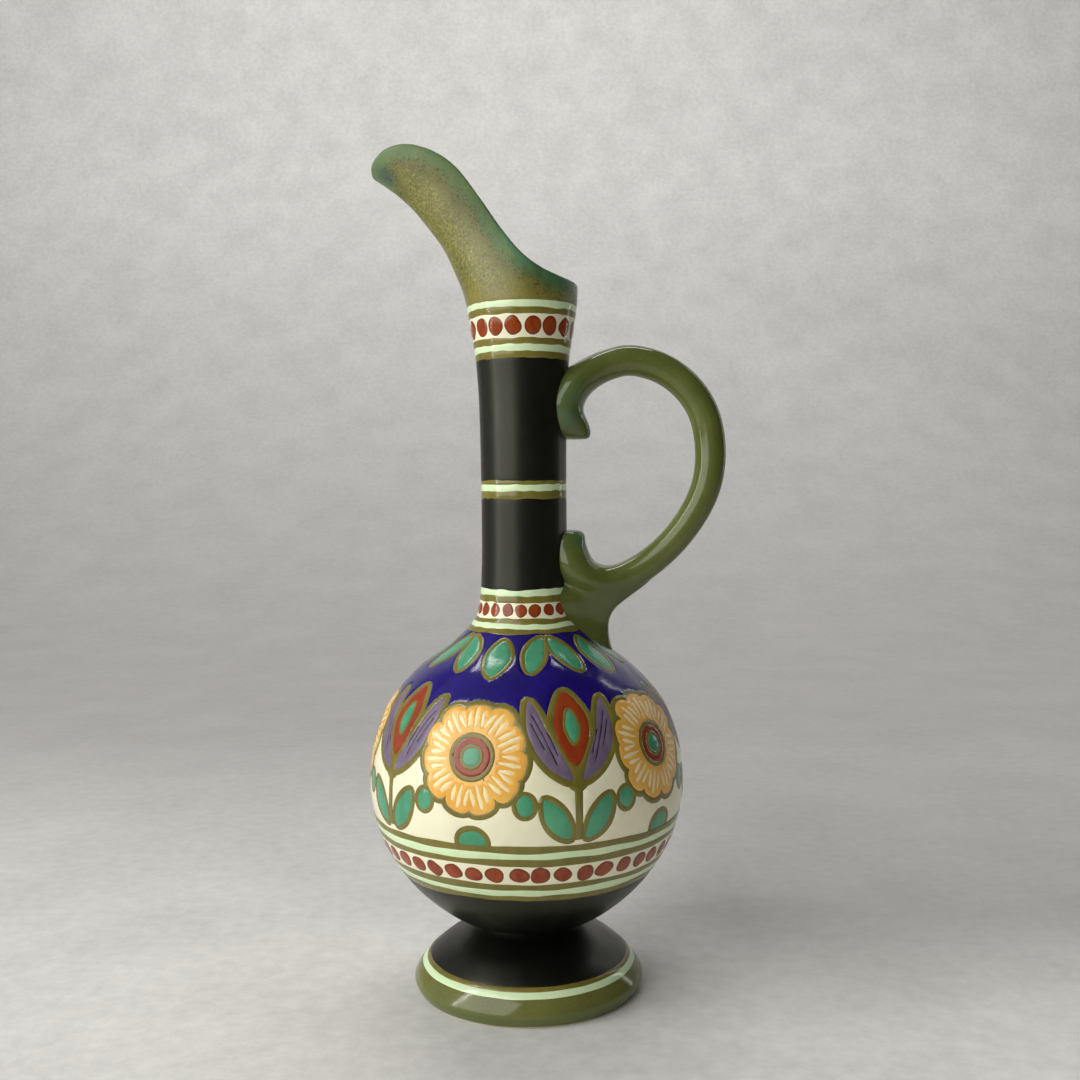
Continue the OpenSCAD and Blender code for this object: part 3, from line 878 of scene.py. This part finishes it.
def paint_belly():
    """Triangulates the painted zone once and gives each colour its own closed coat."""
    bottom, top, upper, lower = border()
    points, edges, loops = drawn_lines(bottom, top, upper, lower)
    points += free_points(points, loops)
    flat, _, triangles, *_ = geometry.delaunay_2d_cdt([Vector(p) for p in points], edges, [],
                                                      0, 1e-4)
    flat, triangles = np.array(flat), np.array(triangles)
    centre = flat[triangles].mean(axis=1)

    def over(line):
        return centre[:, 1] > np.interp(centre[:, 0], FLAT_X, line)

    keep = over(bottom) & ~over(top)
    triangles, centre = triangles[keep], centre[keep]

    # the last painted region over a triangle gives it its colour
    colour_of = np.full(len(triangles), PALETTE.index("cream"))
    colour_of[over(lower)] = PALETTE.index("olive")
    colour_of[over(upper)] = PALETTE.index("cobalt")
    for colour, loop in loops:
        in_box = np.all((centre >= loop.min(axis=0)) & (centre <= loop.max(axis=0)), axis=1)
        picked, = in_box.nonzero()
        colour_of[picked[winding(centre[picked], loop) != 0]] = PALETTE.index(colour)
    colour_of = without_specks(triangles, colour_of)

    # every field swells from its outline
    angle = flat[:, 0] / BELLY_R
    z = level_at(flat[:, 1])
    base = on_surface(angle, z, GROUND)
    distance = distances(base[boundary_points(len(flat), triangles, colour_of)], base)
    for number, (colour, (relief, slot, replaced)) in enumerate(BELLY_COATS.items()):
        used, local = np.unique(triangles[colour_of == number], return_inverse=True)
        local = local.reshape(-1, 3)
        lift = GROUND + relief * (1 - np.exp(-distance[used] / 0.3))
        front = on_surface(angle[used], z[used], lift)
        back = on_surface(angle[used], z[used], BELLY_BACK)
        n = len(used)
        faces = [*local, *((c + n, b + n, a + n) for a, b, c in local)]
        faces += [(b, a, a + n, b + n) for a, b in open_edges(local)]
        add_piece(f"belly_paint_{colour}", np.concatenate([front, back]), faces,
                  MATERIALS[colour], slot, replaced, sharp_deg=50)


paint_belly()

# ---- Spout and handle ----

VOXEL = 0.42  # grain at which limbs are joined into one skin

SPOUT_H, SPOUT_REACH = 51.6, 49.0
SPOUT_SPAN = MOUTH_R + SPOUT_REACH
# Sections of the beak: front point and rear point (reach, height), and half breadth
HORN_SHARES = [
    (0, 0, 0, 0, 1), (0.04, 0.097, -0.003, 0.174, 0.978), (0.104, 0.194, 0.027, 0.349, 0.89),
    (0.236, 0.368, 0.153, 0.523, 0.738), (0.397, 0.504, 0.287, 0.698, 0.645),
    (0.56, 0.624, 0.42, 0.891, 0.579), (0.723, 0.715, 0.569, 1.066, 0.536),
    (0.86, 0.775, 0.733, 1.182, 0.492), (1.016, 0.833, 0.911, 1.24, 0.448),
    (1.163, 0.872, 1.074, 1.26, 0.41)]
# The rim's line, from the back of the mouth to under the lip: reach, height
RIM_SHARES = [
    (0, 0.135), (0.086, 0.16), (0.181, 0.21), (0.275, 0.308), (0.37, 0.468), (0.464, 0.652),
    (0.581, 0.855), (0.701, 0.961), (0.822, 1), (0.918, 0.971), (0.979, 0.907), (1, 0.849),
    (0.991, 0.798), (0.955, 0.736)]
HORN_SIDES = 96
HOLLOW = WALL - 0.15
# The skin's rings below the mouth: depth, distance inside the glazed surface
OUTER_TUCK = ((9, 0.75), (6, 0.75), (3, 0.75), (0.8, 0.5))
INNER_TUCK = ((12, HOLLOW), (6, HOLLOW), (2, HOLLOW))
LIP_SPOT, LIP_REACH, LIP_ROUNDS = (-50.8, 0.0, 269.2), 8.5, 40
BLUE_SPOT = (-45.5, -7.5, 266.0)

HANDLE_REACH, HANDLE_SPAN, HANDLE_RISE, HANDLE_T, GRIP_W = 62.1, 73.4, 8.2, 5.15, 10.0
# Stations of the loop, from the upper curl down: reach, height, thickness, breadth
HANDLE_SHARES = [
    (0.029, 0.6425, 0.6, -0.62), (0.029, 0.6445, 1.02, -0.4), (0.029, 0.65, 1.29, -0.15),
    (0.027, 0.66, 1.39, 0.1), (0.017, 0.68, 1.42, 0.36), (0, 0.708, 1.42, 0.66),
    (-0.015, 0.75, 1.35, 0.92), (-0.015, 0.808, 1.34, 1.06), (0.052, 0.88, 1.2, 1),
    (0.16, 0.936, 1.05, 0.59), (0.294, 0.977, 1, 0.22), (0.456, 0.997, 1, 0.05),
    (0.665, 0.96, 1, 0), (0.842, 0.873, 1, 0), (0.956, 0.753, 1, 0), (1, 0.597, 1, 0),
    (0.977, 0.447, 0.98, 0), (0.894, 0.317, 0.95, 0), (0.758, 0.193, 0.93, 0),
    (0.602, 0.097, 0.94, 0), (0.446, 0.033, 0.98, 0.1), (0.29, 0.003, 1, 0.38),
    (0.135, 0.019, 1.2, 0.92), (0.023, 0.087, 1.42, 0.96), (-0.012, 0.155, 1.4, 0.66),
    (-0.002, 0.197, 1.26, 0.4), (0, 0.22, 1.14, 0.14), (0, 0.231, 0.94, -0.14),
    (0, 0.2345, 0.66, -0.42), (0, 0.236, 0.36, -0.66)]
LEG_REACH, LEG_H = 28.2, 28.8
# Stations of the leg, from the loop down to the shoulder: depth, reach, half breadth
LEG_SHARES = [
    (-0.055, 1.57, 0.4), (0, 1.54, 0.4), (0.086, 1.5, 0.6), (0.174, 1.418, 0.84),
    (0.26, 1.312, 0.98), (0.347, 1.2, 0.98), (0.417, 1.108, 0.95), (0.486, 1.048, 0.93),
    (0.573, 1.012, 0.93), (0.694, 1, 0.93), (0.833, 1.014, 0.97), (0.903, 1.04, 0.9),
    (1, 1.08, 0.6)]
LIMB_SIDES = 48
PRESSED = 1.3  # how deep the handle's ends go into the glazed surface
# The place where the leg runs into the loop
JOINT_SPOT, JOINT_REACH, JOINT_ROUNDS = (27.0, 0.0, 130.0), 15.0, 390
# Spots where the handle's glaze pools: place, reach
HANDLE_POOLS = (((14, 0, 193), 11), ((23, 0, 183), 5), ((17, 0, 151), 7), ((13, 0, 138), 6))


def loft(rings):
    """Solid through rings of equally many points."""
    verts, faces = skin(rings)
    n = len(rings[0])
    return verts, [*faces, range(n - 1, -1, -1), range(len(verts) - n, len(verts))]


def helper(name, solid):
    """Temporary object, in millimetres, with outward faces."""
    mesh = mesh_of(name, *solid)
    shape = bmesh.new()
    shape.from_mesh(mesh)
    bmesh.ops.recalc_face_normals(shape, faces=shape.faces)
    shape.to_mesh(mesh)
    shape.free()
    return linked(name, mesh)


def baked(obj):
    """The object's mesh with its modifiers; the object goes."""
    bpy.context.view_layer.update()
    graph = bpy.context.evaluated_depsgraph_get()
    mesh = bpy.data.meshes.new_from_object(obj.evaluated_get(graph))
    bpy.data.objects.remove(obj)
    return mesh


def carved(name, solid, tools):
    """Mesh of a solid with tools cut out of it."""
    body = helper(name, solid)
    for tool in tools:
        modifier = body.modifiers.new("cut", "BOOLEAN")
        modifier.solver = "EXACT"
        modifier.object = tool
    return baked(body)


def smoothed(obj, rounds, group=""):
    """Smooths an object's mesh, or a vertex group of it."""
    modifier = obj.modifiers.new("soft", "SMOOTH")
    modifier.iterations = rounds
    modifier.vertex_group = group
    return baked(obj)


def thrown(name, meshes, rounds):
    """Joins millimetre meshes into one skin with soft edges, in metres."""
    shape = bmesh.new()
    for mesh in meshes:
        shape.from_mesh(mesh)
    whole = bpy.data.meshes.new(name)
    shape.to_mesh(whole)
    shape.free()
    obj = linked(name, whole)
    remesh = obj.modifiers.new("skin", "REMESH")
    remesh.mode = "VOXEL"
    remesh.voxel_size = VOXEL
    mesh = smoothed(obj, rounds)
    mesh.transform(Matrix.Scale(MM, 4))
    mesh.shade_smooth()
    return mesh


def softened(name, mesh, place, reach, rounds):
    """Smooths a skin further near one place."""
    obj = linked(name, mesh)
    group = obj.vertex_groups.new(name="soft")
    away = np.linalg.norm(coordinates(mesh) - place, axis=1)
    weight = np.clip(1.4 - 1.4 * away / reach, 0, 1)
    for k in np.nonzero(weight)[0]:
        group.add([int(k)], float(weight[k]), "REPLACE")
    return smoothed(obj, rounds, group.name)


def level_ring(x_reach, y_reach, z):
    a = circle(HORN_SIDES)
    return columns(x_reach * np.cos(a), y_reach * np.sin(a), z)


def horn_rings(tucks, inset):
    """Level rings tucked below the mouth, then the beak's to beyond its lip."""
    below = [(radius(MOUTH_Z - down) - tuck, MOUTH_Z - down) for down, tuck in tucks]
    rings = [level_ring(-r, r, z) for r, z in below]
    sections = curve([(-(MOUTH_R + s[0] * (SPOUT_REACH - MOUTH_R)), MOUTH_Z + s[1] * SPOUT_H,
                       MOUTH_R - s[2] * SPOUT_SPAN, MOUTH_Z + s[3] * SPOUT_H, s[4] * MOUTH_R)
                      for s in HORN_SHARES], 6)
    a = circle(HORN_SIDES)
    for x0, z0, x1, z1, broad in sections:
        low, high = np.array([x0, z0]), np.array([x1, z1])
        middle, half = (low + high) / 2, np.linalg.norm(high - low) / 2
        along = (high - low) / (2 * half)
        p = middle - np.outer(np.cos(a), along * (half - inset))
        rings.append(columns(p[:, 0], (broad - inset) * np.sin(a), p[:, 1]))
    return rings


def make_spout():
    """The spout's skin, cut open along its rim, and the numbers that its glaze reads."""
    outer, inner = horn_rings(OUTER_TUCK, 0.0), horn_rings(INNER_TUCK, HOLLOW)
    rim = curve([(MOUTH_R - s[0] * SPOUT_SPAN, MOUTH_Z + s[1] * SPOUT_H) for s in RIM_SHARES], 6)
    far = 240.0
    above = [(far, rim[0][1]), *rim, (-far, rim[-1][1]), (-far, MOUTH_Z + far),
             (far, MOUTH_Z + far)]
    above = [np.insert(above, 1, y, axis=1) for y in (-far, far)]
    tools = [helper("tool", loft(rings)) for rings in (inner, above)]
    body = carved("spout_body", loft(outer), tools)
    bpy.data.batch_remove(tools)
    mesh = thrown("spout_skin", [body], 7)
    mesh = softened("spout_skin", mesh, LIP_SPOT, LIP_REACH, LIP_ROUNDS)
    obj = add_object("spout_glazed", mesh, spout_glaze(), ["spout"])
    p = coordinates(mesh)
    # the distance from the rim doesn't count the breadth
    with_values(obj, "rim_mm", distances(np.insert(rim, 1, 0, axis=1), p * (1, 0, 1)))
    with_values(obj, "foot_share", np.clip((p[:, 2] - MOUTH_Z) / 9.0, 0, 1))
    spot = np.linalg.norm(p - BLUE_SPOT, axis=1)
    with_values(obj, "blue_spot", np.clip(1 - (spot - 1.8) / 4.4, 0, 1) * 0.95)
    deep = distances(np.concatenate(outer), p) - distances(np.concatenate(inner), p)
    with_values(obj, "inside", np.clip(deep / 1.6 + 0.3, 0, 1))


def handle_rings():
    """Rings of the loop across its smoothed direction."""
    route = curve([(NECK_R + s[0] * (HANDLE_REACH - NECK_R),
                    NECK_FOOT_Z + HANDLE_RISE + s[1] * HANDLE_SPAN,
                    s[2] * HANDLE_T, HANDLE_T + s[3] * (GRIP_W - HANDLE_T))
                   for s in HANDLE_SHARES], 6)
    step = np.diff(route[:, :2], axis=0)
    step /= np.maximum(np.linalg.norm(step, axis=1), 1e-9)[:, None]
    step = np.concatenate([step[:1], step])
    weights = np.hanning(13)[1:-1]
    ahead = columns(*(np.convolve(np.pad(step[:, k], 5, mode="edge"), weights, "valid")
                      for k in range(2)))
    ahead /= np.linalg.norm(ahead, axis=1)[:, None]
    a = circle(LIMB_SIDES)
    return [columns(x + dz * thick * np.cos(a), broad * np.sin(a), z - dx * thick * np.cos(a))
            for (x, z, thick, broad), (dx, dz) in zip(route, ahead)]


def leg_rings():
    """Level rings of the leg, which is narrower at its outer edge."""
    a = circle(LIMB_SIDES)
    top = NECK_FOOT_Z + HANDLE_RISE + 0.55 * HANDLE_T
    rings = []
    for down, reach, breadth in curve(LEG_SHARES, 5):
        z = top - down * LEG_H
        middle = min(0.75 * float(radius(z)), 0.8 * LEG_REACH)
        depth = reach * LEG_REACH - middle
        x = middle + np.where(np.cos(a) > 0, depth, middle) * np.cos(a)
        taper = 1 - 0.55 * np.maximum(np.cos(a), 0) ** 0.8
        rings.append(columns(x, breadth * GRIP_W * taper * np.sin(a), z))
    return rings


def make_handle():
    """The handle's skin, fitted to the neck and the shoulder."""
    zs = np.linspace(95, 222, 120)
    core = [(0.01, 95), *zip(radius(zs) - PRESSED, zs), (0.01, 222)]
    core = helper("core", loft([level_ring(r, r, z) for r, z in core]))
    limbs = [carved(name, loft(rings), [core])
             for name, rings in (("loop", handle_rings()), ("leg", leg_rings()))]
    bpy.data.objects.remove(core)
    mesh = thrown("handle_skin", limbs, 10)
    mesh = softened("handle_skin", mesh, JOINT_SPOT, JOINT_REACH, JOINT_ROUNDS)
    # a second skin takes away the folds between the limbs
    mesh.transform(Matrix.Scale(1 / MM, 4))
    mesh = thrown("handle_skin", [mesh], 8)
    look = green_glaze("handle_glaze_look", base=(102, 110, 52), dark=(84, 92, 40),
                       pool=(66, 108, 76), speck=(118, 124, 66))
    obj = add_object("handle_glazed", mesh, look, ["handle"])
    p = coordinates(mesh)
    pools = np.zeros(len(p))
    for spot, reach in HANDLE_POOLS:
        away = np.linalg.norm((p - spot) * (1, 0.55, 0.8), axis=1)
        pools = np.maximum(pools, np.clip(1.15 - away / reach, 0, 1) * 0.75)
    with_values(obj, "pool", pools)


make_spout()
make_handle()

# ---- Clay of the CAD pieces that stay ----

clay, inner = clay_material(), inner_glaze()
for name, material in (("foot", clay), ("belly", inner), ("neck", inner)):
    for slot in frame["nodes"][name].material_slots:
        slot.material = material

# ---- Studio ----


def paper():
    """Pale paper with painted shade away from the lamps, and a painted shadow right of the
    pitcher's foot.
    """
    n = Nodes("pale_paper")
    x, y, z = n.axes()
    # painted shadow of the pitcher just right of its foot, and painted shade towards the back
    right = n.times(n.between(x, 0.0, 0.08), n.between(y, -0.07, 0.06))
    shade = n.number("MAXIMUM", n.between(y, -0.05, 0.4), n.times(right, 0.9))
    shade = n.times(shade, n.between(z, 0.0, 0.7, 1.0, 0.0))
    # painted shade: the paper is darkened to the right of the picture and towards the camera, as if
    # the room were dark there
    beside = n.times(n.between(x, 0.3, 0.8), n.between(y, 0.1, 0.6, 1.0, 0.0))
    shade = n.number("MAXIMUM", shade, n.times(beside, 1.7))
    shade = n.number("MAXIMUM", shade, n.between(y, -0.25, -0.8, 0.0, 1.7))
    mottle = n.plus(n.times(n.noise(150, detail=6, roughness=0.7), 0.6), n.noise(18), 0.4)
    pale = n.ramp(mottle, (0.36, (212, 210, 206)), (0.62, (232, 230, 226)))
    # the darker colour mixed in here is the painted shade
    n.colour(n.mix(n.times(shade, 0.6), pale, (150, 147, 145)))
    n.gloss(0.85, 0.95, n.noise(40))
    n.shader.inputs["Specular IOR Level"].default_value = 0.1
    return n.owner


def make_stage():
    """Floor that rolls up into a backdrop, in metres."""
    half, front, back, roll, height = 3.0, -2.6, 0.7, 1.1, 3.2
    bend = [(back + roll * math.sin(t), roll - roll * math.cos(t))
            for t in np.linspace(0, math.pi / 2, 24)]
    profile = [(front, 0.0), *bend, (back + roll, height)]
    verts = [(x, y, z) for y, z in profile for x in (-half, half)]
    faces = [(2 * k, 2 * k + 1, 2 * k + 3, 2 * k + 2) for k in range(len(profile) - 1)]
    mesh = mesh_of("stage", verts, faces)
    mesh.shade_smooth()
    mesh.materials.append(paper())
    linked("stage", mesh)


def area_light(name, place, target, size, power, colour=(1, 1, 1)):
    """Soft lamp in metres and watts that the camera doesn't see."""
    data = bpy.data.lights.new(name, "AREA")
    data.shape = "RECTANGLE"
    data.size, data.size_y = size
    data.energy = power
    data.color = colour
    obj = linked(name, data)
    obj.location = place
    obj.rotation_euler = (Vector(target) - Vector(place)).to_track_quat("-Z", "Y").to_euler()
    obj.visible_camera = False


def make_air():
    """White air, bright on the spout's side and dim on the handle's."""
    n = Nodes("studio_air", "worlds", "Background", "Generated")
    n.put(n.between(n.axes()[0], -1.0, 0.4, 0.45, 0.05), n.shader.inputs["Strength"])
    n.shader.inputs["Color"].default_value = (1, 1, 1, 1)
    bpy.context.scene.world = n.owner


def make_camera(place, pitch, roll):
    """Camera that looks along +Y, down by pitch and leaning by roll (radians)."""
    data = bpy.data.cameras.new("camera")
    data.lens = 40.0
    data.clip_start = 0.01
    camera = linked("camera", data)
    camera.matrix_world = (Matrix.Translation(place) @ Matrix.Rotation(math.pi / 2 - pitch, 4, "X")
                           @ Matrix.Rotation(-roll, 4, "Z"))
    bpy.context.scene.camera = camera


make_stage()
middle = (0, 0, 0.14)
area_light("key_left", (-0.6, -0.58, 0.54), middle, (0.95, 0.95), 6.9, (1, 0.995, 0.97))
area_light("slit_left", (-0.95, -0.26, 0.5), middle, (0.035, 1.2), 2.4)
area_light("paper_wash", (-0.15, 0.8, 2.2), (0.0, 1.8, 1.0), (1.8, 0.5), 25)
area_light("fill_back", (0.7, 1.1, 0.9), middle, (0.9, 0.9), 0.7)
area_light("strip_right", (0.8, 0.44, 0.48), middle, (0.03, 0.9), 0.5)
make_air()
make_camera((0.005194, -0.39969, 0.16628), pitch=0.04291, roll=0.00998)
bpy.context.scene.view_settings.view_transform = "Standard"
